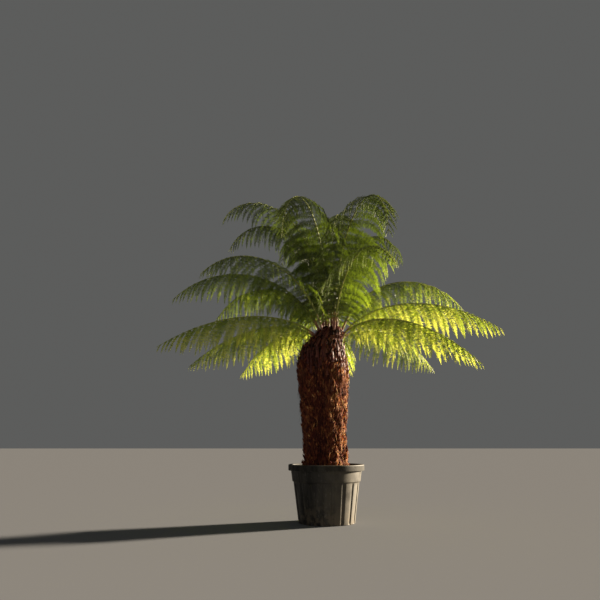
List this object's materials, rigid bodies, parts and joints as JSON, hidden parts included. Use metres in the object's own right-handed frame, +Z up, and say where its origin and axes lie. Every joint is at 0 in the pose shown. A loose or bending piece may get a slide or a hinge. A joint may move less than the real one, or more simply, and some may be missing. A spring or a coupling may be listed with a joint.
{
  "type": "potted tree fern",
  "caption": "Tree fern with one thick shaggy trunk and an arching crown of feathery fronds, growing in a round black nursery pot.",
  "frame": {"origin": "middle of the pot's flat underside", "axes": "+Z up the trunk, -Y towards the front, from which the plant was seen, +X to the right of that view"},
  "size_m": [2.8739, 2.8644, 3.0054],
  "materials": {
    "pot": "matte",
    "potting_mix": "matte",
    "trunk": "matte",
    "frond": "satin"
  },
  "bodies": {
    "root": {"pot": "pot", "potting_mix": "potting_mix", "trunk": "trunk", "upper_frond_1": "frond", "upper_frond_2": "frond", "upper_frond_3": "frond", "upper_frond_4": "frond", "upper_frond_5": "frond", "upper_frond_6": "frond", "upper_frond_7": "frond", "middle_frond_1": "frond", "middle_frond_2": "frond", "middle_frond_3": "frond", "middle_frond_4": "frond", "middle_frond_5": "frond", "middle_frond_6": "frond", "middle_frond_7": "frond", "lower_frond_1": "frond", "lower_frond_2": "frond", "lower_frond_3": "frond", "lower_frond_4": "frond", "lower_frond_5": "frond", "lower_frond_6": "frond", "lower_frond_7": "frond"}
  },
  "joints": []
}
